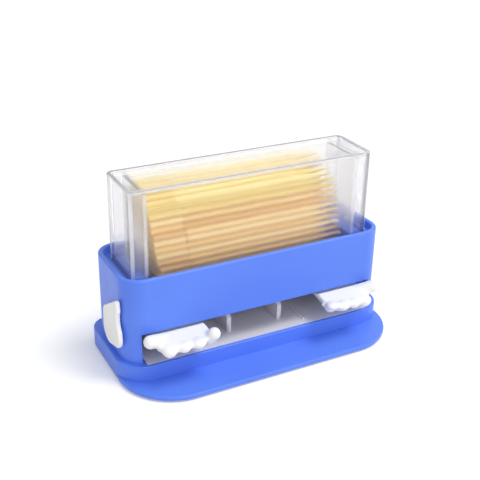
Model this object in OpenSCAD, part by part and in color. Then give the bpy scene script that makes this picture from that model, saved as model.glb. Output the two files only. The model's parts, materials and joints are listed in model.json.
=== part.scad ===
// Table-top pick dispenser: a clear hopper on a blue housing, with two hands on a lever shaft.
// Millimetres, +Z up, front towards -Y, origin under the middle of the base.

/* [Base] */
// Width of the base plate
base_w = 95; // [92:0.5:110]
// Depth of the base plate, front to back
base_d = 46.4; // [44:0.2:60]
// Corner radius at the front of the base plate
base_front_r = 18; // [10:0.5:22]
// Corner radius at the back of the base plate
base_back_r = 6.2; // [5:0.2:12]
// Thickness of the base plate
plate_t = 1.5; // [1.2:0.1:3]
// Depth of the open apron in front of the plinth
apron_d = 12.3; // [9:0.1:13.5]
// Height of the plinth over the base plate
plinth_h = 5.15; // [4:0.05:8]
// Corner radius at the front of the plinth
plinth_front_r = 9; // [6:0.5:12]
// Wall of the hollow plinth
base_wall = 1.8; // [1.2:0.1:2.5]
// Depth of the step behind the housing
back_step = 3; // [1:0.1:5]

/* [Feet] */
// Diameter of a foot pad
pad_d = 8; // [5:0.5:9]
// Thickness of a foot pad
pad_t = 1.2; // [0.9:0.1:1.4]
// Height at which the pads hold the base plate
pad_lift = 0.5; // [0.3:0.1:0.8]
// Distance of the front pads from the front edge
pad_inset = 7; // [6:0.5:7.5]
// Distance of the back pads from the back edge
pad_back = 8; // [7:0.5:9]
// Distance between the left and right pads
pad_pitch = 62; // [40:1:64]
// Wall round the socket of a back pad
pad_wall = 1.2; // [1:0.1:1.4]

/* [Housing] */
// Width of the housing
body_w = 91.5; // [89:0.5:92]
// Depth of the housing
body_d = 29; // [28.6:0.2:30]
// Height of the housing over the plinth
body_h = 28.25; // [27:0.25:40]
// Outer corner radius of the housing
body_r = 6.8; // [5:0.1:8]
// Wall of the housing
body_wall = 1.7; // [1.4:0.1:2]
// Width of the front slot
slot_w = 81.6; // [81:0.2:83]
// Height of the front slot
slot_h = 9.95; // [9.6:0.05:10.5]
// Radius of the posts in the housing corners
post_r = 2.4; // [2.2:0.1:2.5]
// Distance of a post's axis from the end wall
post_in_x = 1.6; // [1.4:0.1:1.8]
// Distance of a post's axis from the front or back wall
post_in_y = 3.1; // [2.8:0.1:3.4]
// Diameter of the shank of a base screw
screw_d = 2.4; // [2:0.1:2.6]
// Length of a base screw under its head
screw_len = 12; // [9:0.5:16]
// Diameter of the head of a base screw
screw_head_d = 5; // [4.4:0.1:5.2]
// Height of the head of a base screw
screw_head_h = 1.6; // [1.4:0.1:2]
// Depth of a screw head over the underside of the plate
screw_sink = 0.4; // [0.2:0.1:0.6]
// Wall round a screw head
screw_wall = 1.4; // [1.2:0.1:1.6]

/* [Chute] */
// Drop from the rim of the housing to the deck
deck_drop = 2.4; // [1.5:0.1:4]
// Thickness of the deck
deck_t = 1.6; // [1.4:0.1:2.2]
// Slope of the ramp in degrees
ramp_angle = 30; // [26:1:32]
// Thickness of the ramp and the chute walls
chute_wall = 1.2; // [1:0.1:1.5]
// Width of the throat at the foot of the ramp
throat_w = 3; // [2.6:0.1:3.2]
// Height of the throat plate over the shaft axis
throat_up = 4.2; // [4.1:0.1:5]

/* [Hopper] */
// Outer width of the clear hopper
hopper_w = 84; // [82:0.5:85]
// Outer depth of the clear hopper
hopper_d = 20; // [19.5:0.1:21]
// Height of the hopper over the deck
hopper_h = 28.3; // [22:0.1:40]
// Outer corner radius of the hopper
hopper_r = 2.5; // [2:0.1:3.5]
// Wall of the hopper
hopper_wall = 1.5; // [1.2:0.1:1.8]
// Depth of the hopper's seat in the deck
hopper_seat = 0.8; // [0.5:0.1:1]
// Distance between the middles of the partitions
store_w = 73; // [71:0.5:74]
// Thickness of a partition
partition_t = 1.2; // [1:0.1:1.5]
// Thickness of the lid
lid_t = 1.5; // [1.2:0.1:2.5]

/* [Tray] */
// Thickness of the tray floor
tray_t = 1.2; // [1:0.1:1.6]
// Depth of the tray's pocket in the plinth
tray_pocket = 1; // [0.6:0.1:1.2]
// Distance between the middles of the two bearing plates
rib_pitch = 18.6; // [16:0.2:24]
// Thickness of a bearing plate
rib_t = 1.6; // [1.2:0.1:2.4]
// Reach of a bearing plate in front of the shaft axis
rib_front = 6; // [5:0.1:6.2]
// Drop from the shaft axis to the front shoulder of a bearing plate
rib_shoulder = 3; // [2.4:0.1:4]
// Distance of the tray's front edge behind the face of the housing
tray_set_back = 0.4; // [0.3:0.1:0.8]
// Distance of the tray's back edge from the back wall of the housing
tray_back_gap = 3; // [2:0.1:4]
// Distance of a bead on the tray floor from the middle
bead_x = 16.5; // [13:0.1:20]
// Length of a bead on the tray floor
bead_len = 9.2; // [6:0.1:10]
// Width of a bead on the tray floor
bead_w = 0.6; // [0.4:0.1:1]
// Height of a bead on the tray floor
bead_h = 0.5; // [0.3:0.1:0.8]

/* [Shaft] */
// Diameter of the shaft
shaft_d = 3; // [2.6:0.1:3.2]
// Distance of the shaft axis from the front face of the housing
shaft_in = 10.9; // [10.4:0.1:11.4]
// Height of the shaft axis over the plinth
shaft_up = 8.45; // [8.2:0.05:8.8]
// Outer diameter of a bush
bush_d = 5.4; // [4.8:0.1:5.6]
// Thickness and overhang of the collar of a bush
bush_collar = 0.8; // [0.6:0.1:1]
// Length of the bosses that hold the bushes
boss_len = 3; // [2.5:0.1:3.5]
// Wall of the bosses that hold the bushes
boss_wall = 1.5; // [1.2:0.1:1.8]
// Wall of the hands' hubs round the shaft
hub_wall = 1.8; // [1.6:0.1:2]
// Thickness of the clip on the shaft
clip_t = 0.8; // [0.6:0.1:1]
// Depth of the clip's groove
groove_d = 0.3; // [0.2:0.05:0.4]
// Diameter of the counterweight rod
weight_d = 4.4; // [3:0.1:4.8]
// Distance of the counterweight behind the shaft
weight_back = 8; // [6.6:0.1:9]
// Drop of the counterweight below the shaft axis
weight_drop = 1.5; // [1.2:0.1:1.8]
// Wall of the arms' tails round the counterweight
tail_wall = 1.4; // [1.2:0.1:1.6]
// Diameter of a cross pin
pin_d = 1.2; // [1:0.1:1.4]

/* [Hands] */
// Distance from the middle of the dispenser to the middle of a hand
hand_x = 28.1; // [27.4:0.1:28.6]
// Distance between neighbouring fingers
finger_pitch = 4.55; // [4.3:0.05:4.65]
// Diameter of a finger at its knuckle
finger_d = 4.9; // [4.6:0.1:5]
// Length of the longest finger in front of its knuckle
finger_len = 4.4; // [4:0.1:4.8]
// Reach of the longest fingertip in front of the shaft axis
hand_reach = 20.9; // [20.4:0.1:21.2]
// Drop of the palm below the shaft axis, at half its thickness
hand_drop = 1.1; // [1:0.1:1.4]
// Length of the palm behind the knuckles
palm_len = 9.3; // [8.8:0.1:9.6]
// Thickness of the palm
palm_t = 3.4; // [2.8:0.1:3.6]
// Corner radius of the palm
palm_r = 2.4; // [1.6:0.1:2.8]
// Distance of the thumb's tip from the middle of the hand
thumb_out = 11.7; // [11:0.1:11.9]
// Distance of the thumb's tip in front of the shaft axis
thumb_reach = 14.6; // [14.2:0.1:15]
// Height of the thumb's tip over the shaft axis
thumb_up = 1.2; // [0.8:0.1:1.4]
// Width of an arm
arm_w = 10; // [6:0.5:12]
// Height of the arm's shelf, under the lowest pick, over the shaft axis
arm_shelf = 2; // [1.9:0.05:2]

/* [Lever] */
// Thickness of the lever
lever_t = 1.5; // [1.2:0.1:1.5]
// Gap between the lever and the housing
lever_gap = 0.2; // [0.1:0.05:0.25]
// Depth of the shaft's end in the lever
lever_socket = 1; // [0.8:0.1:1.1]
// Height of the lever's tip over the shaft axis
lever_up = 12.6; // [11:0.1:14]
// Distance of the lever's tip in front of the shaft axis
lever_lean = 7.1; // [6:0.1:9]
// Drop of the lever's foot below the shaft axis
lever_down = 5.6; // [5.4:0.1:6.4]
// Reach of the lever's knee in front of the shaft axis
lever_knee = 8.3; // [7.6:0.1:9]
// Reach of the lever's heel behind the shaft axis
lever_heel = 5.7; // [5.4:0.1:6.4]
// Height of the lever's shoulder over the shaft axis
lever_shoulder = 3.9; // [3.4:0.1:4.4]
// Distance of the lever's waist in front of the shaft axis
lever_waist = 6.6; // [6:0.1:7]
// Height of the lever's waist over the shaft axis
lever_waist_up = 6.3; // [5.8:0.1:6.8]
// Rounding of the lever's tip
lever_tip_r = 0.9; // [0.6:0.1:1.2]
// Rounding of the lever's foot
lever_foot_r = 4.6; // [4:0.1:5]
// Rounding of the lever's knee
lever_knee_r = 3.6; // [3:0.1:4]
// Rounding of the lever's shoulder
lever_shoulder_r = 2.5; // [2:0.1:3]
// Rounding of the lever's waist
lever_waist_r = 5.5; // [4:0.1:7]

/* [Picks] */
// Length of a pick
pick_len = 65; // [55:0.5:66]
// Diameter of a pick
pick_d = 2.15; // [1.8:0.05:2.2]
// Length of a pick's pointed end
pick_tip = 11; // [6:0.5:14]
// Gap between neighbouring picks
pick_gap = 0.06; // [0.05:0.01:0.1]
// Drop from the lid to the top of the front row of picks
fill_drop = 6.9; // [5:0.1:18]
// Height of the lowest pick's axis over the shaft axis
pick_rest = 2.95; // [2.9:0.05:3.2]
// Bevel on the blunt end of a pick
pick_bevel = 0.4; // [0.2:0.1:0.6]
// Distance of the turned neck from the blunt end
neck_in = 10.2; // [6:0.1:14]
// Width of the turned neck
neck_w = 0.6; // [0.4:0.1:1.2]
// Depth of the turned neck
neck_d = 0.2; // [0.1:0.05:0.3]
// Diameter of the end of a pick's point
point_d = 0.5; // [0.3:0.1:0.8]
// How far the lowest picks have slid from the left partition
pick_slide = 3; // [1:0.1:3]

/* [Hidden] */
$fn = 96;

// Small overlap that joins or cuts cleanly
eps = 0.05;
// Clearance of a piece that drops into its seat
seat_gap = 0.1;
// Clearance of a lid or panel that slides in or out
slide_gap = 0.15;
// Radial clearance of a turning or pushed-in round piece
run_gap = 0.05;
// Clearance of a screw in its hole, and of a piece beside its stop
free_gap = 0.2;
// Excess of a finger's joint balls, so that they close over its cones
ball_more = 0.02;

blue = [0.36, 0.5, 0.95];
white = [0.93, 0.93, 0.92];
clear = [0.85, 0.9, 0.95, 0.35];
steel = [0.72, 0.73, 0.75];

// Levels and depths that the pieces share
plinth_z = pad_lift + plate_t + plinth_h;
plinth_d = base_d - apron_d;
plinth_y = apron_d / 2;
body_y = base_d / 2 - back_step - body_d / 2;
body_front = body_y - body_d / 2;
body_top = plinth_z + body_h;
deck_z = body_top - deck_drop;
hopper_top = deck_z + hopper_h;
lid_z = hopper_top - lid_t;
inner_w = body_w - 2 * body_wall;
inner_d = body_d - 2 * body_wall;
store_d = hopper_d - 2 * hopper_wall;
store_in = store_w - partition_t;
tray_z = plinth_z - tray_pocket + tray_t;

// The shaft line
shaft_y = body_front + shaft_in;
shaft_z = plinth_z + shaft_up;
shaft_r = shaft_d / 2;
hub_r = shaft_r + hub_wall;
boss_r = bush_d / 2 + boss_wall;
shaft_left = -body_w / 2 - lever_gap - lever_socket;
shaft_right = inner_w / 2 - free_gap;
clip_x = rib_pitch / 2 + rib_t / 2 + free_gap;
groove_r = shaft_r - groove_d;

// The front wall is thicker where its corner starts, so the slot is cut this much deeper
slot_depth_more = 0.27 * body_wall;

// The posts that carry the deck and take the base screws
post_x = inner_w / 2 - post_in_x;
post_y = inner_d / 2 - post_in_y;
pilot_r = screw_d / 2 + run_gap;
screw_head_r = screw_head_d / 2;
screw_seat_z = pad_lift + screw_head_h + screw_sink;

// The tray lies between the posts
tray_half = post_x - post_r - free_gap;
tray_front = body_front + tray_set_back;
tray_d = body_d - body_wall - tray_back_gap;

// A hand, drawn from the shaft axis with forward as negative y, little finger first
finger_r = finger_d / 2;
tip_r = 0.95 * finger_r;
knuckle_y = -hand_reach + finger_len;
palm_back = knuckle_y + palm_len;
palm_high = -hand_drop + palm_t / 2;
palm_low = -hand_drop - palm_t / 2;
palm_inner = -1.72 * finger_pitch;
palm_outer = 2.06 * finger_pitch;
// Share of the finger's length by which each finger ends behind the longest one
finger_short = [0.1, 0, 0.13, 0.2];
// Height of each fingertip over the middle of the palm, as a share of the finger's diameter
finger_rise = [0.47, 0.22, 0.12, -0.01];
// Thickness of each finger, as a share of the finger's diameter
finger_girth = [0.84, 1, 1, 1];
// Shift of each fingertip outwards, as a share of the distance between fingers
finger_spread = [-0.13, 0, 0, 0];

// Corner point and end point of the outer tangent of two circles [x, y, r], outside on the right
function tangent_angle(a, b) =
    atan2(b[1] - a[1], b[0] - a[0]) - acos((a[2] - b[2]) / norm([b[0] - a[0], b[1] - a[1]]));
function on_circle(c, angle) = [c[0] + c[2] * cos(angle), c[1] + c[2] * sin(angle)];

// Rounded outline round a ring of circles [x, y, r], listed anticlockwise
module blob(circles) {
    count = len(circles);
    polygon([
        for (i = [0 : count - 1])
            let (a = circles[i], b = circles[(i + 1) % count], angle = tangent_angle(a, b))
            each [on_circle(a, angle), on_circle(b, angle)]
    ]);
    for (c = circles) translate([c[0], c[1]]) circle(c[2]);
}

// Rectangle with its own corner radius at the front and at the back
module slab_outline(w, d, front_r, back_r) {
    blob([
        [-w / 2 + front_r, -d / 2 + front_r, front_r],
        [w / 2 - front_r, -d / 2 + front_r, front_r],
        [w / 2 - back_r, d / 2 - back_r, back_r],
        [-w / 2 + back_r, d / 2 - back_r, back_r]
    ]);
}

module box_outline(w, d, r) {
    slab_outline(w, d, r, r);
}

// Extrude a side outline, drawn as [y, z], along X from x
module along_x(x, length) {
    translate([x, 0, 0]) rotate([90, 0, 90]) linear_extrude(length) children();
}

module rod_x(x, length, r) {
    translate([x, 0, 0]) rotate([0, 90, 0]) cylinder(r = r, h = length);
}

module at_shaft() {
    translate([0, shaft_y, shaft_z]) children();
}

module at_posts() {
    for (x = [-post_x, post_x], y = [-post_y, post_y]) translate([x, body_y + y, 0]) children();
}

module at_front_pads() {
    for (x = [-pad_pitch / 2, pad_pitch / 2]) translate([x, -base_d / 2 + pad_inset, 0]) children();
}

module at_back_pads() {
    for (x = [-pad_pitch / 2, pad_pitch / 2]) translate([x, base_d / 2 - pad_back, 0]) children();
}

module plinth_outline(inset) {
    translate([0, plinth_y])
        slab_outline(base_w - 2 * inset, plinth_d - 2 * inset, plinth_front_r - inset, base_back_r - inset);
}

module base_shell() {
    difference() {
        union() {
            translate([0, 0, pad_lift])
                linear_extrude(plate_t) slab_outline(base_w, base_d, base_front_r, base_back_r);
            translate([0, 0, pad_lift]) linear_extrude(plinth_z - pad_lift) plinth_outline(0);
        }
        linear_extrude(plinth_z - tray_pocket - base_wall) plinth_outline(base_wall);
    }
}

module base() {
    boss_top = plinth_z - tray_pocket - base_wall / 2;
    color(blue) difference() {
        union() {
            base_shell();
            translate([0, 0, pad_lift]) {
                at_posts() cylinder(r = screw_head_r + screw_wall, h = boss_top - pad_lift);
                at_back_pads() cylinder(d = pad_d + 2 * pad_wall, h = boss_top - pad_lift);
            }
        }
        translate([-tray_half - seat_gap, tray_front - seat_gap, plinth_z - tray_pocket])
            cube([2 * (tray_half + seat_gap), tray_d + 2 * seat_gap, tray_pocket + eps]);
        at_posts() {
            cylinder(r = screw_d / 2 + free_gap, h = plinth_z + eps);
            cylinder(r = screw_head_r + free_gap, h = screw_seat_z);
        }
        at_front_pads() cylinder(d = pad_d + 2 * seat_gap, h = pad_t);
        at_back_pads() cylinder(d = pad_d + 2 * seat_gap, h = pad_t);
    }
}

module foot_pads() {
    color([0.35, 0.36, 0.4]) {
        at_front_pads() cylinder(d = pad_d, h = pad_t);
        at_back_pads() cylinder(d = pad_d, h = pad_t);
    }
}

module base_screws() {
    color(steel) at_posts() {
        translate([0, 0, screw_seat_z - screw_head_h]) cylinder(r = screw_head_r, h = screw_head_h);
        translate([0, 0, screw_seat_z - eps]) cylinder(d = screw_d, h = screw_len + eps);
    }
}

module housing() {
    color(blue) difference() {
        union() {
            translate([0, body_y, plinth_z]) difference() {
                linear_extrude(body_h) box_outline(body_w, body_d, body_r);
                translate([0, 0, -eps]) linear_extrude(body_h + 2 * eps)
                    box_outline(inner_w, inner_d, body_r - body_wall);
            }
            at_posts() translate([0, 0, plinth_z]) cylinder(r = post_r, h = deck_z - deck_t - plinth_z);
            at_shaft() {
                rod_x(-inner_w / 2 - eps, boss_len + eps, boss_r);
                rod_x(inner_w / 2 - boss_len, boss_len + eps, boss_r);
            }
        }
        translate([-slot_w / 2, body_front - eps, plinth_z - eps])
            cube([slot_w, body_wall + slot_depth_more + eps, slot_h + eps]);
        at_posts() translate([0, 0, plinth_z - eps]) cylinder(r = pilot_r, h = screw_len);
        at_shaft() {
            rod_x(-body_w / 2 - eps, body_wall + boss_len + 2 * eps, bush_d / 2 + run_gap);
            rod_x(inner_w / 2 - boss_len - eps, boss_len + eps, bush_d / 2 + run_gap);
        }
    }
}

// Side outline of the ramp, from the back of the deck opening down to the throat
module ramp_outline() {
    back = store_d / 2;
    foot = -store_d / 2 + throat_w;
    drop = (back - foot) * tan(ramp_angle);
    under = chute_wall / cos(ramp_angle);
    top = deck_z - deck_t;
    polygon([
        [back, top + eps], [back, top], [foot, top - drop], [foot, top - drop - under],
        [back + chute_wall, top - under + chute_wall * tan(ramp_angle)], [back + chute_wall, top + eps]
    ]);
}

// Side outline of the end walls of the chute
module chute_end_outline() {
    back = store_d / 2;
    foot = -store_d / 2 + throat_w;
    drop = (back - foot) * tan(ramp_angle);
    top = deck_z - deck_t;
    throat_z = shaft_z + throat_up;
    polygon([
        [-back - chute_wall, throat_z], [foot, throat_z], [foot, top - drop - chute_wall],
        [back + chute_wall, top - chute_wall], [back + chute_wall, top + eps], [-back - chute_wall, top + eps]
    ]);
}

module chute() {
    end_x = store_w / 2 - partition_t / 2;
    throat_z = shaft_z + throat_up;
    color(blue) translate([0, body_y, 0]) {
        difference() {
            translate([0, 0, deck_z - deck_t]) linear_extrude(deck_t)
                box_outline(inner_w - 2 * seat_gap, inner_d - 2 * seat_gap, body_r - body_wall - seat_gap);
            translate([-end_x, -store_d / 2, deck_z - deck_t - eps])
                cube([2 * end_x, store_d, deck_t + 2 * eps]);
            translate([0, 0, deck_z - hopper_seat]) linear_extrude(hopper_seat + eps) difference() {
                box_outline(hopper_w + 2 * seat_gap, hopper_d + 2 * seat_gap, hopper_r + seat_gap);
                box_outline(hopper_w - 2 * hopper_wall - 2 * seat_gap, store_d - 2 * seat_gap,
                            hopper_r - hopper_wall - seat_gap);
            }
        }
        along_x(-end_x - eps, 2 * (end_x + eps)) ramp_outline();
        translate([-end_x - eps, -store_d / 2 - chute_wall, throat_z])
            cube([2 * (end_x + eps), chute_wall, deck_z - deck_t + eps - throat_z]);
        along_x(-end_x - chute_wall, chute_wall) chute_end_outline();
        along_x(end_x, chute_wall) chute_end_outline();
    }
}

// Side outline of a bearing plate: foot, shaft eye and the step on which the counterweight rests
module rib_outline() {
    step_z = shaft_z - weight_drop - weight_d / 2 - free_gap;
    step_back = shaft_y + weight_back + weight_d / 2;
    eye_r = hub_r - seat_gap;
    polygon([
        [shaft_y - rib_front, tray_z - eps], [step_back, tray_z - eps], [step_back, step_z],
        [shaft_y + hub_r + free_gap, step_z], [shaft_y + eye_r, shaft_z], [shaft_y - eye_r, shaft_z],
        [shaft_y - rib_front, shaft_z - rib_shoulder]
    ]);
    translate([shaft_y, shaft_z]) circle(eye_r);
}

module tray() {
    bead_y = tray_front + bead_w;
    color([0.82, 0.83, 0.86]) difference() {
        union() {
            translate([-tray_half, tray_front, tray_z - tray_t]) cube([2 * tray_half, tray_d, tray_t]);
            for (x = [-rib_pitch / 2, rib_pitch / 2]) along_x(x - rib_t / 2, rib_t) rib_outline();
            for (x = [-bead_x, bead_x])
                translate([x - bead_w / 2, bead_y, tray_z - eps]) cube([bead_w, bead_len, bead_h + eps]);
        }
        at_shaft() rod_x(-rib_pitch, 2 * rib_pitch, shaft_r + run_gap);
    }
}

module hopper() {
    color(clear) translate([0, body_y, deck_z - hopper_seat]) difference() {
        linear_extrude(hopper_h + hopper_seat) box_outline(hopper_w, hopper_d, hopper_r);
        translate([0, 0, -eps]) linear_extrude(hopper_h + hopper_seat + 2 * eps)
            box_outline(hopper_w - 2 * hopper_wall, store_d, hopper_r - hopper_wall);
    }
}

module partition(x) {
    color(clear)
        translate([x - partition_t / 2, body_y - store_d / 2 + seat_gap, deck_z])
            cube([partition_t, store_d - 2 * seat_gap, lid_z - deck_z]);
}

module left_partition() {
    partition(-store_w / 2);
}

module right_partition() {
    partition(store_w / 2);
}

// The lid lies flush in the mouth of the hopper and rests on the partitions
module lid() {
    lid_gap = slide_gap + hopper_wall;
    color(clear) translate([0, body_y, lid_z]) linear_extrude(lid_t)
        box_outline(hopper_w - 2 * lid_gap, hopper_d - 2 * lid_gap, hopper_r - lid_gap);
}

module shaft() {
    color(steel) at_shaft() difference() {
        rod_x(shaft_left, shaft_right - shaft_left, shaft_r);
        difference() {
            rod_x(clip_x - run_gap, clip_t + 2 * run_gap, shaft_r + eps);
            rod_x(clip_x - 2 * run_gap, clip_t + 4 * run_gap, groove_r);
        }
        for (x = [-hand_x, hand_x])
            translate([x, 0, -shaft_r - eps]) cylinder(r = pin_d / 2 + run_gap, h = shaft_d + 2 * eps);
    }
}

module shaft_clip() {
    color(steel) at_shaft() difference() {
        rod_x(clip_x, clip_t, hub_r - groove_d);
        rod_x(clip_x - eps, clip_t + 2 * eps, groove_r + run_gap);
    }
}

// A flanged bush whose collar starts at x and whose body runs on for length, towards the wall on side
module bush(side, length) {
    color([0.85, 0.82, 0.72]) at_shaft() mirror([side < 0 ? 1 : 0, 0, 0]) difference() {
        union() {
            rod_x(inner_w / 2 - boss_len - bush_collar, bush_collar, bush_d / 2 + bush_collar);
            rod_x(inner_w / 2 - boss_len - eps, length + eps, bush_d / 2);
        }
        rod_x(inner_w / 2 - boss_len - bush_collar - eps, length + bush_collar + 2 * eps, shaft_r + run_gap);
    }
}

module left_bush() {
    bush(-1, boss_len + body_wall);
}

module right_bush() {
    bush(1, boss_len);
}

module hand_pins() {
    color(steel) at_shaft() for (x = [-hand_x, hand_x])
        translate([x, 0, -hub_r + seat_gap]) cylinder(d = pin_d, h = 2 * (hub_r - seat_gap));
}

module counterweight() {
    color(steel) translate([0, weight_back, -weight_drop]) at_shaft()
        rod_x(-hand_x - arm_w / 2, 2 * hand_x + arm_w, weight_d / 2);
}

// A finger or thumb: a cone between two balls [x, y, z, r]
module digit(a, b) {
    step = [b[0] - a[0], b[1] - a[1], b[2] - a[2]];
    long = norm(step);
    translate([a[0], a[1], a[2]]) rotate([0, acos(step[2] / long), atan2(step[1], step[0])]) {
        sphere(a[3] + ball_more);
        cylinder(r1 = a[3], r2 = b[3], h = long);
        translate([0, 0, long]) sphere(b[3] + ball_more);
    }
}

// Side outline of an arm: hub, tail round the counterweight, and shank to the palm
module arm_outline() {
    tail_r = weight_d / 2 + tail_wall;
    web = 0.75 * hub_r;
    front = knuckle_y + 0.3 * palm_len;
    back = palm_back - 0.1 * palm_len;
    circle(hub_r);
    translate([weight_back, -weight_drop]) circle(tail_r);
    polygon([[0, web], [weight_back, web - weight_drop], [weight_back, -web - weight_drop], [0, -web]]);
    polygon([
        [0, hub_r], [-0.9 * hub_r, arm_shelf], [back, palm_high], [front, palm_high],
        [front, palm_low], [back, palm_low], [0, -hub_r]
    ]);
}

// One finger, from the front of the palm to its tip
module finger(i) {
    x = (i - 1.5) * finger_pitch;
    girth = finger_girth[i];
    tip_y = -hand_reach + finger_short[i] * finger_len + girth * tip_r;
    tip_z = -hand_drop + finger_rise[i] * finger_d;
    knuckle = [x, knuckle_y, -hand_drop, girth * finger_r];
    tip = [x + finger_spread[i] * finger_pitch, tip_y, tip_z, girth * tip_r];
    digit(knuckle, tip);
}

// The right hand; its thumb points outwards, and its palm faces up
module hand() {
    thumb_root = [palm_outer - 1.2 * finger_r, palm_back - 0.55 * palm_len, -0.7 * hand_drop, 0.9 * finger_r];
    thumb_tip = [thumb_out, -thumb_reach, thumb_up, 0.85 * finger_r];
    difference() {
        union() {
            along_x(-arm_w / 2, arm_w) arm_outline();
            translate([(palm_inner + palm_outer) / 2, (palm_back + knuckle_y) / 2, palm_low])
                linear_extrude(palm_t) box_outline(palm_outer - palm_inner, palm_len, palm_r);
            for (i = [0 : 3]) finger(i);
            digit(thumb_root, thumb_tip);
        }
        rod_x(-arm_w / 2 - eps, arm_w + 2 * eps, shaft_r + run_gap);
        translate([0, weight_back, -weight_drop])
            rod_x(-arm_w / 2 - eps, arm_w + 2 * eps, weight_d / 2 + run_gap);
        translate([0, 0, -hub_r - eps]) cylinder(r = pin_d / 2 + run_gap, h = 2 * hub_r + 2 * eps);
    }
}

module left_hand() {
    color(white) at_shaft() translate([-hand_x, 0, 0]) mirror([1, 0, 0]) hand();
}

module right_hand() {
    color(white) at_shaft() translate([hand_x, 0, 0]) hand();
}

// Leaf-shaped lever on the left end, drawn from the shaft axis with forward as negative y
module lever_outline() {
    difference() {
        blob([
            [lever_heel - lever_foot_r, lever_foot_r - lever_down, lever_foot_r],
            [lever_heel - 1.1 * lever_shoulder_r, lever_shoulder, lever_shoulder_r],
            [lever_tip_r - lever_lean, lever_up - lever_tip_r, lever_tip_r],
            [lever_knee_r - lever_knee, -0.1 * lever_knee_r, lever_knee_r]
        ]);
        translate([-lever_waist - lever_waist_r, lever_waist_up]) circle(lever_waist_r);
    }
}

module lever() {
    color(white) at_shaft() difference() {
        along_x(-body_w / 2 - lever_gap - lever_t, lever_t) lever_outline();
        rod_x(shaft_left, 2 * lever_t, shaft_r + run_gap);
    }
}

pick_pitch = pick_d + pick_gap;
pick_columns = floor((store_d - pick_d) / (pick_pitch * cos(ramp_angle))) + 1;

// The lowest pick rests on the arms in the throat, or on their hubs where the shaft is close behind it
pick_ahead = shaft_y - body_y + store_d / 2 - pick_d / 2 - seat_gap;
hub_reach = hub_r + pick_d / 2 + seat_gap;
hub_rest = sqrt(max(0, hub_reach * hub_reach - pick_ahead * pick_ahead));
pick_low = shaft_z + max(pick_rest, hub_rest);
pick_high = lid_z - fill_drop - pick_d / 2;

// Lowest pick axis over the ramp at depth y
function ramp_rest(y) =
    deck_z - deck_t - (store_d / 2 - y) * tan(ramp_angle) + (pick_d / 2 + pick_gap) / cos(ramp_angle);

// Lower picks have slid further from the left partition
function pick_left(z, seed) =
    -store_in / 2 + pick_gap + pick_slide * max(0, min(1, (pick_high - z) / (pick_high - deck_z)))
        + rands(free_gap, pick_d / 2, 1, seed)[0];

// A pick along X: bevelled blunt end, a turned neck, and a long point
module pick() {
    r = pick_d / 2;
    point_x = pick_len - pick_tip;
    neck_end = neck_in + neck_w;
    rotate([0, 90, 0]) {
        cylinder(r1 = r - pick_bevel / 2, r2 = r, h = pick_bevel);
        translate([0, 0, pick_bevel]) cylinder(r = r, h = neck_in - pick_bevel);
        translate([0, 0, neck_in]) cylinder(r = r - neck_d, h = neck_w);
        translate([0, 0, neck_end]) cylinder(r = r, h = point_x - neck_end);
        translate([0, 0, point_x]) cylinder(r1 = r, r2 = point_d / 2, h = pick_tip);
    }
}

module picks() {
    front = -store_d / 2 + pick_d / 2 + seat_gap;
    color([0.86, 0.72, 0.45]) translate([0, body_y, 0])
        for (i = [0 : pick_columns - 1]) {
            y = front + i * pick_pitch * cos(ramp_angle);
            lift = i * pick_pitch * sin(ramp_angle);
            top = min(pick_high + lift, lid_z - pick_d / 2 - seat_gap);
            for (z = [pick_low + lift : pick_pitch : top])
                if (i == 0 || (y > front + throat_w / 2 && z > ramp_rest(y)))
                    translate([pick_left(z, 31 * i + z), y, z]) pick();
        }
}

base();
housing();
chute();
tray();
hopper();
left_partition();
right_partition();
lid();
shaft();
left_bush();
right_bush();
left_hand();
right_hand();
hand_pins();
counterweight();
shaft_clip();
lever();
base_screws();
foot_pads();
picks();
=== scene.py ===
import json
from math import copysign, hypot, radians

import bmesh
import bpy
from mathutils import Matrix, Vector

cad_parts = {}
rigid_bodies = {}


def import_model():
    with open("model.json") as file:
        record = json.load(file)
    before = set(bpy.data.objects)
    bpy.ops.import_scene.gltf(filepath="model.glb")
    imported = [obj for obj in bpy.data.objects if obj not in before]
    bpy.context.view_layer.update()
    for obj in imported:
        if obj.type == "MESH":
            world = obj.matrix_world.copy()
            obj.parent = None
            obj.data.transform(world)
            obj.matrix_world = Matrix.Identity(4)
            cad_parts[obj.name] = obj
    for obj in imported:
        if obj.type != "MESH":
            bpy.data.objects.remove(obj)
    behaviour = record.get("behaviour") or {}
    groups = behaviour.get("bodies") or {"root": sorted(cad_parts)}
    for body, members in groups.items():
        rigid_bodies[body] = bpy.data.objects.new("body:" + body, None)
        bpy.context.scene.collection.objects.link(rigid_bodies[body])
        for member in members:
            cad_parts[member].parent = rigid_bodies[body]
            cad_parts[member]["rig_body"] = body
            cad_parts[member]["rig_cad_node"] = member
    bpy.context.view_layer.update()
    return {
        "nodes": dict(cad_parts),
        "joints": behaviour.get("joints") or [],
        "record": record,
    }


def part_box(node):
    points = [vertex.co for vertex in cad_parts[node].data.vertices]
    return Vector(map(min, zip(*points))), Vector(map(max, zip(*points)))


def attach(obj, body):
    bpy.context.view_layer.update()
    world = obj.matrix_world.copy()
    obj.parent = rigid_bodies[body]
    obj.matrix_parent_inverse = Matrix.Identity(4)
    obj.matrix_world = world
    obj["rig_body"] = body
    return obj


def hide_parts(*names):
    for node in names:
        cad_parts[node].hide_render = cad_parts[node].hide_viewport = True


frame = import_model()

MM = 0.001
cad = frame["nodes"]
body_of = {
    node: body
    for body, members in frame["record"]["behaviour"]["bodies"].items()
    for node in members
}
slot_of = {row["node"]: row["material_slot"] for row in frame["record"]["subparts"]}


# Places that the frame gives, in millimetres

def box_mm(node):
    """A node's lowest and highest corners."""
    return tuple(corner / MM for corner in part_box(node))


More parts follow.
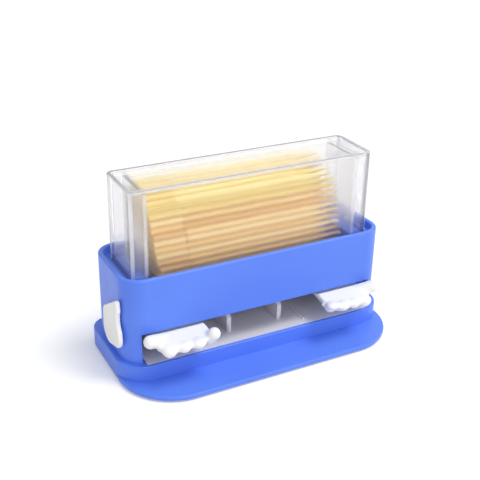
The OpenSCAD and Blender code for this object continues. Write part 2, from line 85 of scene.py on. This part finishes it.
base_low, base_high = box_mm("base")
housing_low, housing_high = box_mm("housing")
tray_low, tray_high = box_mm("tray")
hopper_low, hopper_high = box_mm("hopper")
screws_low, screws_high = box_mm("base_screws")
hand_tilt = next(joint for joint in frame["joints"] if joint["name"] == "hand_tilt")
_, shaft_y, shaft_z = (place / MM for place in hand_tilt["pos_m"])


# Node helpers

NOISE_SPAN = (0.3, 0.7)  # most of a noise pattern lies in this span
MIX_A, MIX_B, MIX_RESULT = 6, 7, 2  # the colour sockets of a Mix node


def new_finish(name):
    """A fresh material with its node tree and its main shader."""
    material = bpy.data.materials.new(name)
    material.use_nodes = True
    tree = material.node_tree
    return material, tree, tree.nodes["Principled BSDF"]


def place_on_piece(tree):
    """Object coordinates, in metres."""
    return tree.nodes.new("ShaderNodeTexCoord").outputs["Object"]


def remap(tree, value, source, target):
    """Value taken from the source span to the target span, and kept inside it."""
    span = tree.nodes.new("ShaderNodeMapRange")
    for end, number in zip(("From Min", "From Max", "To Min", "To Max"), (*source, *target)):
        span.inputs[end].default_value = number
    tree.links.new(value, span.inputs["Value"])
    return span.outputs["Result"]


def grain(tree, per_metre, detail, roughness=0.55):
    """Noise on the piece; per_metre gives the patches along x, y and z."""
    mapping = tree.nodes.new("ShaderNodeMapping")
    noise = tree.nodes.new("ShaderNodeTexNoise")
    mapping.inputs["Scale"].default_value = per_metre
    noise.inputs["Scale"].default_value = 1.0
    noise.inputs["Detail"].default_value = detail
    noise.inputs["Roughness"].default_value = roughness
    tree.links.new(place_on_piece(tree), mapping.inputs["Vector"])
    tree.links.new(mapping.outputs["Vector"], noise.inputs["Vector"])
    return noise.outputs["Fac"]


def spread(tree, noise, low, high):
    """A noise pattern stretched from low to high."""
    return remap(tree, noise, NOISE_SPAN, (low, high))


def along(tree, axis, low, high):
    """0 at low to 1 at high along an axis of the piece, in metres."""
    parts = tree.nodes.new("ShaderNodeSeparateXYZ")
    tree.links.new(place_on_piece(tree), parts.inputs["Vector"])
    return remap(tree, parts.outputs[axis], (low, high), (0, 1))


def tone(tree, factor, *stops):
    """Colour ramp over factor; each stop is (place, colour)."""
    ramp = tree.nodes.new("ShaderNodeValToRGB")
    marks = ramp.color_ramp.elements
    for i, (place, colour) in enumerate(stops):
        mark = marks[i] if i < 2 else marks.new(place)
        mark.position = place
        mark.color = (*colour, 1)
    tree.links.new(factor, ramp.inputs["Fac"])
    return ramp.outputs["Color"]


def blend(tree, kind, factor, first, second):
    """Two colours mixed; factor is a number or a socket."""
    mixed = tree.nodes.new("ShaderNodeMix")
    mixed.data_type = "RGBA"
    mixed.blend_type = kind
    if isinstance(factor, float):
        mixed.inputs["Factor"].default_value = factor
    else:
        tree.links.new(factor, mixed.inputs["Factor"])
    tree.links.new(first, mixed.inputs[MIX_A])
    tree.links.new(second, mixed.inputs[MIX_B])
    return mixed.outputs[MIX_RESULT]


def relief(tree, shader, height, depth, strength):
    """Fine unevenness of the surface, after a pattern's height."""
    bump = tree.nodes.new("ShaderNodeBump")
    bump.inputs["Distance"].default_value = depth
    bump.inputs["Strength"].default_value = strength
    tree.links.new(height, bump.inputs["Height"])
    tree.links.new(bump.outputs["Normal"], shader.inputs["Normal"])


# Finishes

STYRENE_IOR = 1.5


def moulded_plastic(name, dark, light, roughness):
    """Satin moulding: slow flow marks in the colour, uneven gloss and a fine spark-eroded skin."""
    material, tree, shader = new_finish(name)
    flow = grain(tree, per_metre=(26, 40, 60), detail=4)
    skin = grain(tree, per_metre=(2600, 2600, 2600), detail=2)
    handling = grain(tree, per_metre=(180, 220, 260), detail=5)
    tree.links.new(tone(tree, flow, (0.35, dark), (0.65, light)), shader.inputs["Base Color"])
    tree.links.new(spread(tree, handling, roughness, roughness + 0.1), shader.inputs["Roughness"])
    shader.inputs["Specular IOR Level"].default_value = 0.3
    relief(tree, shader, skin, depth=0.02 * MM, strength=0.12)
    return material


def clear_plastic(name):
    """Polished styrene: clear through a wall, greyer along it, with a slight haze from handling."""
    material, tree, shader = new_finish(name)
    haze = grain(tree, per_metre=(120, 120, 90), detail=5)
    ripple = grain(tree, per_metre=(70, 70, 50), detail=1)
    shader.inputs["Base Color"].default_value = (0.97, 0.97, 0.98, 1)
    shader.inputs["Transmission Weight"].default_value = 0.88
    shader.inputs["IOR"].default_value = STYRENE_IOR
    shader.inputs["Alpha"].default_value = 0.4
    tree.links.new(spread(tree, haze, low=0.01, high=0.045), shader.inputs["Roughness"])
    relief(tree, shader, ripple, depth=0.05 * MM, strength=0.15)
    volume = tree.nodes.new("ShaderNodeVolumeAbsorption")
    volume.inputs["Color"].default_value = (0.6, 0.6, 0.68, 1)
    volume.inputs["Density"].default_value = 5
    tree.links.new(volume.outputs["Volume"], tree.nodes["Material Output"].inputs["Volume"])
    return material


def frost_and_painted_light_plastic(name, dark, light, cover):
    """Clear styrene painted milky or grey: a matt frosted sheet, and painted highlights, painted shade lines
    and painted reflections on edges and walls.
    """
    material, tree, shader = new_finish(name)
    cloud = grain(tree, per_metre=(60, 90, 70), detail=4)
    skin = grain(tree, per_metre=(1800, 1800, 1800), detail=2)
    tree.links.new(tone(tree, cloud, (0.3, dark), (0.7, light)), shader.inputs["Base Color"])
    shader.inputs["Transmission Weight"].default_value = 0.3
    shader.inputs["IOR"].default_value = STYRENE_IOR
    shader.inputs["Alpha"].default_value = cover
    tree.links.new(spread(tree, cloud, low=0.3, high=0.5), shader.inputs["Roughness"])
    relief(tree, shader, skin, depth=0.02 * MM, strength=0.2)
    return material


def painted_rim_plastic(name, front, back, cover):
    """Polished upper edge of the clear box, painted grey as a painted shade line that is darker towards its
    back wall.
    """
    material, tree, shader = new_finish(name)
    polish = grain(tree, per_metre=(90, 90, 90), detail=3)
    # painted shade: darker towards the back wall
    depth = along(tree, "Y", hopper_low.y * MM, hopper_high.y * MM)
    tree.links.new(tone(tree, depth, (0.1, front), (0.9, back)), shader.inputs["Base Color"])
    shader.inputs["IOR"].default_value = STYRENE_IOR
    shader.inputs["Alpha"].default_value = cover
    tree.links.new(spread(tree, polish, low=0.25, high=0.4), shader.inputs["Roughness"])
    return material


def turned_wood(name, tan, yellow, shaded_tan_below, lit_yellow_above):
    """Picks: each its own shade, with grain along the stick; painted lighter and yellower in the upper rows
    and tan below, as painted light and shade.
    """
    material, tree, shader = new_finish(name)
    stick = tree.nodes.new("ShaderNodeNewGeometry").outputs["Random Per Island"]
    fibre = grain(tree, per_metre=(60, 2600, 2600), detail=4, roughness=0.7)
    lower, upper = (tone(tree, stick, *zip((0.0, 0.5, 1.0), shades)) for shades in (tan, yellow))
    # painted light and shade: the upper rows take the lighter yellow tones, the lower rows the darker tan
    # ones
    shade = blend(tree, "MIX", along(tree, "Z", shaded_tan_below, lit_yellow_above), lower, upper)
    streak = tone(tree, fibre, (0.3, (0.84, 0.78, 0.68)), (0.6, (1, 1, 1)))
    grained = blend(tree, "MULTIPLY", factor=0.8, first=shade, second=streak)
    tree.links.new(grained, shader.inputs["Base Color"])
    tree.links.new(spread(tree, fibre, low=0.45, high=0.7), shader.inputs["Roughness"])
    relief(tree, shader, fibre, depth=0.05 * MM, strength=0.4)
    return material


def drawn_steel(name, dark, light):
    """Bright steel with fine drawing lines along x."""
    material, tree, shader = new_finish(name)
    draw = grain(tree, per_metre=(90, 3000, 3000), detail=4)
    shader.inputs["Metallic"].default_value = 1.0
    tree.links.new(tone(tree, draw, (0.3, dark), (0.7, light)), shader.inputs["Base Color"])
    tree.links.new(spread(tree, draw, low=0.24, high=0.42), shader.inputs["Roughness"])
    relief(tree, shader, draw, depth=0.01 * MM, strength=0.3)
    return material


def soft_rubber(name, dark, light):
    """Matt rubber with a fine crumb."""
    material, tree, shader = new_finish(name)
    crumb = grain(tree, per_metre=(1400, 1400, 1400), detail=4)
    tree.links.new(tone(tree, crumb, (0.3, dark), (0.7, light)), shader.inputs["Base Color"])
    tree.links.new(spread(tree, crumb, low=0.75, high=0.92), shader.inputs["Roughness"])
    relief(tree, shader, crumb, depth=0.05 * MM, strength=0.4)
    return material


blue = moulded_plastic("blue_moulding", (0.102, 0.22, 0.84), (0.115, 0.243, 0.88), roughness=0.32)
white = moulded_plastic("white_moulding", (0.88, 0.87, 0.845), (0.92, 0.91, 0.885), roughness=0.4)
grey = moulded_plastic("grey_moulding", (0.67, 0.67, 0.74), (0.73, 0.73, 0.8), roughness=0.4)
bush = moulded_plastic("natural_nylon", (0.6, 0.57, 0.48), (0.66, 0.63, 0.55), roughness=0.38)
clear = clear_plastic("clear_styrene")
# A frosted haze on the partitions; its pink tint is a painted reflection of the picks.
frosted = frost_and_painted_light_plastic("frosted_styrene", (0.92, 0.89, 0.89), (0.97, 0.94, 0.94), cover=0.3)
# painted reflection: a milky lavender veil on the clear box's end walls
painted_reflection_veil = frost_and_painted_light_plastic("styrene_painted_reflection", (0.84, 0.86, 0.97), (0.9, 0.91, 0.99), cover=0.25)
# painted shade: a dark line along the partitions' tops
painted_shade_edge = frost_and_painted_light_plastic("styrene_painted_shade_edge", (0.2, 0.19, 0.24), (0.26, 0.25, 0.3), cover=0.8)
# painted shade: a grey line along the clear box's rim, darker towards the back
painted_rim_shade = painted_rim_plastic("styrene_painted_rim_shade", front=(0.42, 0.4, 0.47), back=(0.17, 0.165, 0.21), cover=0.75)
# painted highlight: white lines on the clear pieces' corners and edges
painted_highlight = frost_and_painted_light_plastic("styrene_painted_highlight", (0.92, 0.92, 0.94), (0.96, 0.96, 0.97), cover=0.7)
wood = turned_wood(
    "birch_pick",
    tan=((0.79, 0.46, 0.12), (0.91, 0.6, 0.19), (0.97, 0.73, 0.32)),
    yellow=((0.85, 0.61, 0.16), (0.95, 0.77, 0.25), (0.99, 0.88, 0.43)),
    # the lit yellow tones, painted light, take over from the shaded tan tones between these heights
    shaded_tan_below=50.5 * MM, lit_yellow_above=52 * MM,
)
steel = drawn_steel("drawn_steel", (0.48, 0.48, 0.5), (0.68, 0.68, 0.7))
rubber = soft_rubber("pad_rubber", (0.05, 0.05, 0.06), (0.1, 0.1, 0.11))

FINISH = {
    "blue_plastic": blue, "white_plastic": white, "grey_plastic": grey, "bush_plastic": bush,
    "clear_plastic": clear, "pick_wood": wood, "steel": steel, "pad_rubber": rubber,
}
for node, slot in slot_of.items():
    cad[node].data.materials.clear()
    cad[node].data.materials.append(frosted if node.endswith("partition") else FINISH[slot])


# Pieces finished from the frame's own solids

WELD = 0.002 * MM  # points closer than this are one
FLAT_UP_TO = radians(0.5)  # faces that meet at less are one flat face
CORNER_FROM = radians(32)  # an edge that turns by more can take a mould radius
SMOOTH_UP_TO = radians(38)


def take_copy(node, name):
    """A merged copy of a CAD node, flat faces joined, ready to be worked on."""
    bpy.ops.object.select_all(action="DESELECT")
    bpy.context.view_layer.objects.active = cad[node]
    cad[node].select_set(True)
    bpy.ops.object.duplicate()
    piece = bpy.context.active_object
    bpy.ops.object.parent_clear(type="CLEAR_KEEP_TRANSFORM")
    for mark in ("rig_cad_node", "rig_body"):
        del piece[mark]
    piece.name = name
    bpy.ops.object.mode_set(mode="EDIT")
    bpy.ops.mesh.select_all(action="SELECT")
    bpy.ops.mesh.remove_doubles(threshold=WELD)
    bpy.ops.mesh.dissolve_limited(angle_limit=FLAT_UP_TO)
    bpy.ops.object.mode_set(mode="OBJECT")
    return piece


def put_in_place(piece, node):
    """The piece stands for the node, rides on its body and takes its finish."""
    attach(piece, body_of[node])
    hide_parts(node)
    piece.data.materials.clear()
    piece.data.materials.append(cad[node].data.materials[0])


def add_and_apply(piece, kind, **settings):
    """Add a modifier with its settings, and apply it."""
    bpy.ops.object.modifier_add(type=kind)
    modifier = piece.modifiers[-1]
    for name, value in settings.items():
        setattr(modifier, name, value)
    bpy.ops.object.modifier_apply(modifier=modifier.name)


def select_edges(piece, wanted):
    """In edit mode, select the outward corners whose middle, in millimetres, is wanted."""
    bpy.ops.object.mode_set(mode="EDIT")
    bpy.ops.mesh.select_mode(type="EDGE")
    bpy.ops.mesh.select_all(action="DESELECT")
    mesh = bmesh.from_edit_mesh(piece.data)
    for edge in mesh.edges:
        if len(edge.link_faces) == 2 and edge.is_convex and edge.calc_face_angle() > CORNER_FROM:
            x, y, z = (edge.verts[0].co + edge.verts[1].co) / (2 * MM)
            edge.select_set(wanted(x, y, z))
    bmesh.update_edit_mesh(piece.data)


def round_edges(piece, width, segments, wanted):
    """Mould radius along the wanted edges."""
    select_edges(piece, wanted)
    bpy.ops.mesh.bevel(offset=width, segments=segments, profile=0.5, affect="EDGES")
    bpy.ops.object.mode_set(mode="OBJECT")


def smooth_curves(piece):
    """Curved faces shade smooth; flat and straight ones keep their shading up to the edge."""
    bpy.ops.object.shade_smooth_by_angle(angle=SMOOTH_UP_TO)
    add_and_apply(piece, "WEIGHTED_NORMAL", keep_sharp=True, weight=100)


def moulding(node, name, *radii, first=None):
    """The node with its edges rounded; each of radii is (width, segments, wanted).

    first, where given, shapes the piece before its edges are rounded.
    """
    piece = take_copy(node, name)
    if first:
        first(piece)
    for width, segments, wanted in radii:
        round_edges(piece, width, segments, wanted)
    smooth_curves(piece)
    put_in_place(piece, node)
    return piece


def finish_faces(piece, material, wanted):
    """Give the faces wanted, by middle in millimetres and normal, a finish of their own."""
    piece.data.materials.append(material)
    slot = len(piece.data.materials) - 1
    for face in piece.data.polygons:
        if wanted(face.center / MM, face.normal):
            face.material_index = slot


# Which edges are rounded: each rule takes an edge's middle, in millimetres

NEAR = 0.15  # an edge this close to a plane lies on it
PLATE_TOP = 2.0
PLATE_CORNER_R = 18  # the front corners of the base plate
corner_x, corner_y = base_high.x - PLATE_CORNER_R, base_low.y + PLATE_CORNER_R
PLATE_RUN_OUT = 0.4  # the plate's upper edge stays sharp over this length, where its corners end
apron_end = corner_y - PLATE_RUN_OUT
SIDE_BAND, END_BAND, CORNER_BAND = 1.5, 0.6, 1  # edges this close to the plate's outline are on it
POCKET_ROOM = 0.3  # from the tray to the edge of its pocket, at most
SCREW_HEAD_R = 2.5
SCREW_ROOM = 3  # no edge is rounded this close to a screw
screw_x = screws_high.x - SCREW_HEAD_R
screw_rows = screws_low.y + SCREW_HEAD_R, screws_high.y - SCREW_HEAD_R
SLOT_HALF, SLOT_TOP = 40.8, 17.1
SLOT_CURVE = 0.4  # the slot's ends lie up to this far back, round the housing's corners
TRAY_FLOOR = 7.35
SOCKET_R = 2.5  # the lever's socket for the shaft lies within this


def under_plate(x, y, z):
    """The outer edge of the plate's underside."""
    at_side = abs(x) > base_high.x - SIDE_BAND or abs(y) > base_high.y - END_BAND
    from_centre = hypot(abs(x) - corner_x, y - corner_y)
    at_corner = y < apron_end and from_centre > PLATE_CORNER_R - CORNER_BAND
    return z < base_low.z + NEAR and (at_side or at_corner)


def plinth_edge(x, y, z):
    """The plinth's upper edge, clear of the tray's pocket and the screws."""
    over_tray = (
        abs(x) < tray_high.x + POCKET_ROOM
        and tray_low.y - POCKET_ROOM < y < tray_high.y + POCKET_ROOM
    )
    near_screw = any(hypot(abs(x) - screw_x, y - row) < SCREW_ROOM for row in screw_rows)
    return z > base_high.z - NEAR and not over_tray and not near_screw


def base_edge(x, y, z):
    """The plinth's upper edge and the plate's own edges."""
    on_plate = abs(z - PLATE_TOP) < NEAR and y < apron_end
    return on_plate or plinth_edge(x, y, z) or under_plate(x, y, z)


def housing_rim(x, y, z):
    return z > housing_high.z - NEAR


def slot_edge(x, y, z):
    """The front edges of the slot."""
    in_front = y < housing_low.y + SLOT_CURVE
    return in_front and housing_low.z + NEAR < z < SLOT_TOP + NEAR and abs(x) < SLOT_HALF + NEAR


def plate_and_bead_edge(x, y, z):
    """What stands on the tray's floor."""
    return z > TRAY_FLOOR + NEAR


def lever_edge(x, y, z):
    """The lever's outline, not the socket for the shaft."""
    return hypot(y - shaft_y, z - shaft_z) > SOCKET_R


def hopper_rim(x, y, z):
    return z > hopper_high.z - NEAR


def every_edge(x, y, z):
    return True


# Which faces of the clear pieces take a painted highlight, painted shade line or painted reflection: each
# rule takes a face's middle and normal

RIM_DEPTH = 0.4
LEVEL = 0.95  # least upward part of the normal on a flat top
ROUNDED = 0.55  # least part of the normal along both x and y on a rounded corner
SQUARE = 0.99  # least part of the normal along x on an end wall
FACING = 0.5  # least part of the normal towards the side that a face counts to


def on_hopper_rim(middle, normal):
    """The flat top of the walls."""
    return middle.z > hopper_high.z - RIM_DEPTH and normal.z > LEVEL


def on_hopper_corner(middle, normal):
    """The rounded upright corners."""
    return min(abs(normal.x), abs(normal.y)) > ROUNDED


def on_hopper_end(middle, normal):
    return abs(normal.x) > SQUARE


def on_lid_side(middle, normal):
    """The left and the front side."""
    return min(normal.x, normal.y) < -FACING


def on_panel_top(middle, normal):
    return normal.z > FACING


def on_panel_front(middle, normal):
    return normal.y < -FACING


# The tray's lip

LIP_REACH = 1.5 * MM
LIP_CLEAR = 0.02 * MM  # above the top of the plinth
TOUCHING = 0.01 * MM


def add_lip(tray):
    """Draw the tray's front edge out over the top of the plinth as a thin lip."""
    lip_bottom = base_high.z * MM + LIP_CLEAR
    bpy.ops.object.mode_set(mode="EDIT")
    bpy.ops.mesh.select_mode(type="FACE")
    bpy.ops.mesh.select_all(action="SELECT")
    bpy.ops.mesh.bisect(plane_co=(0, 0, lip_bottom), plane_no=(0, 0, 1))
    bpy.ops.mesh.select_all(action="DESELECT")
    mesh = bmesh.from_edit_mesh(tray.data)
    front = min(vert.co.y for vert in mesh.verts)
    for face in mesh.faces:
        middle = face.calc_center_median()
        face.select_set(middle.y < front + TOUCHING and middle.z > lip_bottom)
    bmesh.update_edit_mesh(tray.data)
    bpy.ops.mesh.extrude_region_move(TRANSFORM_OT_translate={"value": (0, -LIP_REACH, 0)})
    bpy.ops.object.mode_set(mode="OBJECT")


# Hands: places in millimetres, with x counted outwards from the middle of the dispenser

PALM_INNER_X = 21.8
PALM_FRONT_Y, PALM_BACK_Y = -13.6, -4
PALM_MIDDLE_Z = 14.6
PALM_UNDERCUT = 2.4
INNER_FINGER_X = 23.6  # the inner finger ends and the next one begins here
LITTLE_FINGER_X = 37.5  # the outermost finger ends here, and the thumb begins
KNUCKLE_Y = -12.6
KNUCKLE_LEN = 2
FINGER_MIDDLE_Z = 14.8
FINGER_FLATTER = 0.45  # share of the height over the middle that a fingertip loses
FINGER_LEAN = 1.1
WEB_X = 20.8, 35.6  # its inner and outer side
WEB_Y = -16.6, -9.2  # its front and back
WEB_TOP = 15.9, 16.9  # at its front and at its back
WEB_BOTTOM = 14.5


def taper_palm(x, y, z):
    """The palm's lower inner edge goes outwards, so that its side slopes away below."""
    at_edge = x < PALM_INNER_X and PALM_FRONT_Y < y < PALM_BACK_Y and z < PALM_MIDDLE_Z
    return (PALM_UNDERCUT, 0) if at_edge else (0, 0)


def flatten_fingers(x, y, z):
    """The tops of the three outer fingers go down towards their tips, so that they run on from the palm."""
    if INNER_FINGER_X < x < LITTLE_FINGER_X and y < KNUCKLE_Y and z > FINGER_MIDDLE_Z:
        share = min(1, (KNUCKLE_Y - y) / KNUCKLE_LEN)
        return 0, -FINGER_FLATTER * share * (z - FINGER_MIDDLE_Z)
    return 0, 0


def lean_inner_finger(x, y, z):
    """The inner fingertip goes outwards and down, so that it runs on from the palm's sloping side."""
    if x < INNER_FINGER_X and y < PALM_FRONT_Y:
        return FINGER_LEAN, -FINGER_FLATTER * max(0, z - FINGER_MIDDLE_Z)
    return 0, 0


def reshape(piece, rule):
    """Move each point outwards and up by what the rule gives for its place."""
    for vert in piece.data.vertices:
        x, y, z = vert.co / MM
        outwards, up = rule(abs(x), y, z)
        vert.co.x += copysign(outwards, x) * MM
        vert.co.z += up * MM


def add_web(piece, side):
    """A wedge over the roots of the fingers, sloping down from the palm to the tips."""
    mesh = bmesh.new()
    mesh.from_mesh(piece.data)
    for corner in bmesh.ops.create_cube(mesh, size=1)["verts"]:
        outer, back, upper = (level > 0 for level in corner.co)
        height = WEB_TOP[back] if upper else WEB_BOTTOM
        corner.co = Vector((side * WEB_X[outer], WEB_Y[back], height)) * MM
    bmesh.ops.recalc_face_normals(mesh, faces=mesh.faces)
    mesh.to_mesh(piece.data)
    mesh.free()


VOXEL = 0.22 * MM  # fineness of a hand's mesh
CREASE = 0.8 * MM  # half the width of the creases that run together in the mould


def close_up(piece, reach):
    """Fill the creases narrower than twice the reach: grown by it, fused and shrunk back."""
    for step in (reach, -reach):
        add_and_apply(piece, "DISPLACE", strength=step, mid_level=0)
        add_and_apply(piece, "REMESH", mode="VOXEL", voxel_size=VOXEL)
        add_and_apply(piece, "SMOOTH", factor=0.5, iterations=3)


def moulded_hand(node, name, side, *rules):
    """A hand reshaped by rules and run together as in one mould; side is -1 for the left, 1 for the right."""
    piece = take_copy(node, name)
    for rule in rules:
        reshape(piece, rule)
    add_web(piece, side)
    add_and_apply(piece, "REMESH", mode="VOXEL", voxel_size=VOXEL)
    close_up(piece, CREASE)
    bpy.ops.object.shade_smooth()
    put_in_place(piece, node)


# The pieces

moulding("base", "base_moulding", (0.4 * MM, 3, base_edge))
moulding("housing", "housing_moulding", (0.65 * MM, 4, housing_rim), (0.35 * MM, 3, slot_edge))
moulding("tray", "tray_moulding", (0.15 * MM, 2, plate_and_bead_edge), first=add_lip)
moulding("lever", "lever_moulding", (0.5 * MM, 4, lever_edge))
moulded_hand("left_hand", "left_hand_moulding", -1, taper_palm, flatten_fingers)
moulded_hand("right_hand", "right_hand_moulding", 1, taper_palm, flatten_fingers, lean_inner_finger)

hopper = moulding("hopper", "hopper_moulding", (0.3 * MM, 3, hopper_rim))
# The rim of the clear box takes a painted shade line, darker towards the back.
finish_faces(hopper, painted_rim_shade, on_hopper_rim)
# Its rounded corners take a painted highlight.
finish_faces(hopper, painted_highlight, on_hopper_corner)
# The end walls take a painted reflection, a milky veil over the deck.
finish_faces(hopper, painted_reflection_veil, on_hopper_end)
lid = moulding("lid", "lid_moulding", (0.2 * MM, 2, every_edge))
# The lid's left and front sides take a painted highlight.
finish_faces(lid, painted_highlight, on_lid_side)
for side in ("left", "right"):
    panel = moulding(f"{side}_partition", f"{side}_partition_panel", (0.15 * MM, 2, every_edge))
    # A partition's top takes a painted shade line.
    finish_faces(panel, painted_shade_edge, on_panel_top)
    # A partition's front edge takes a painted highlight.
    finish_faces(panel, painted_highlight, on_panel_front)

stack = take_copy("picks", "pick_stack")
smooth_curves(stack)
put_in_place(stack, "picks")


# Floor, light and camera, in metres

FLOOR_SIZE = 4
FADE_FROM, FADE_TO = 0.25, 0.9  # the floor fades into the white background between these distances
GLOW_NEAR, GLOW_FAR = 0.165, 0.9
WORLD_LIGHT, WORLD_SEEN = 0.56, 1.0
AIM = (0, 0, 0.02)
CAMERA_PLACE = (-0.1162, -0.2113, 0.1523)
CAMERA_BACK = (-0.4233, -0.7961, 0.4324)  # from what it looks at towards the camera
CAMERA_ROLL = (0.9998, 0.0203)  # cosine and sine
FOCAL_PIXELS, FRAME_PIXELS = 843.2, 480
SENSOR_MM = 36


def seen_directly(tree):
    """1 for rays that show a surface as a background: camera, mirror and see-through rays."""
    path = tree.nodes.new("ShaderNodeLightPath")
    seen = path.outputs["Is Camera Ray"]
    for kind in ("Is Glossy Ray", "Is Transmission Ray"):
        either = tree.nodes.new("ShaderNodeMath")
        either.operation = "MAXIMUM"
        tree.links.new(seen, either.inputs[0])
        tree.links.new(path.outputs[kind], either.inputs[1])
        seen = either.outputs["Value"]
    return seen


def floor_paper():
    """Pale matt paper that glows a little to the eye, more with distance, and keeps the shadow."""
    material, tree, shader = new_finish("floor_paper")
    shader.inputs["Base Color"].default_value = (0.93, 0.93, 0.94, 1)
    shader.inputs["Roughness"].default_value = 0.9
    shader.inputs["Specular IOR Level"].default_value = 0.0
    shader.inputs["Emission Color"].default_value = (1, 1, 1, 1)
    away = tree.nodes.new("ShaderNodeVectorMath")
    away.operation = "LENGTH"
    tree.links.new(place_on_piece(tree), away.inputs[0])
    fade = remap(tree, away.outputs["Value"], (FADE_FROM, FADE_TO), (GLOW_NEAR, GLOW_FAR))
    glow = tree.nodes.new("ShaderNodeMath")
    glow.operation = "MULTIPLY"
    tree.links.new(seen_directly(tree), glow.inputs[0])
    tree.links.new(fade, glow.inputs[1])
    tree.links.new(glow.outputs["Value"], shader.inputs["Emission Strength"])
    return material


def studio_floor():
    bpy.ops.object.select_all(action="DESELECT")
    bpy.ops.mesh.primitive_plane_add(size=FLOOR_SIZE)
    floor = bpy.context.active_object
    floor.name = "floor"
    floor.data.materials.append(floor_paper())


def studio_world():
    """White to the eye, at a plain level as a light."""
    world = bpy.data.worlds.new("studio")
    bpy.context.scene.world = world
    world.use_nodes = True
    tree = world.node_tree
    background = tree.nodes["Background"]
    background.inputs["Color"].default_value = (1, 1, 1, 1)
    level = remap(tree, seen_directly(tree), (0, 1), (WORLD_LIGHT, WORLD_SEEN))
    tree.links.new(level, background.inputs["Strength"])


def soft_box(name, place, size, watts):
    """A square area lamp turned to the object."""
    bpy.ops.object.light_add(type="AREA", location=place)
    lamp = bpy.context.active_object
    lamp.name = name
    lamp.data.size = size
    lamp.data.energy = watts
    lamp.rotation_euler = (Vector(AIM) - Vector(place)).to_track_quat("-Z", "Y").to_euler()


def photo_camera():
    """Camera at the photograph's place, with its focal length and roll."""
    back = Vector(CAMERA_BACK).normalized()
    level = Vector((0, 0, 1)).cross(back).normalized()
    roll_cos, roll_sin = CAMERA_ROLL
    right = (roll_cos * level + roll_sin * back.cross(level)).normalized()
    turn = Matrix((right, back.cross(right), back)).transposed()
    bpy.ops.object.camera_add()
    camera = bpy.context.active_object
    camera.data.sensor_width = SENSOR_MM
    camera.data.lens = SENSOR_MM * FOCAL_PIXELS / FRAME_PIXELS
    camera.data.clip_start = 0.01
    camera.matrix_world = Matrix.Translation(CAMERA_PLACE) @ turn.to_4x4()
    bpy.context.scene.camera = camera


studio_floor()
studio_world()
soft_box("key_light", (0.75, -0.5, 1.95), size=0.9, watts=24.5)
soft_box("fill_light", (0.0, -1.75, 0.9), size=1.0, watts=8)
photo_camera()
bpy.context.scene.view_settings.view_transform = "Standard"
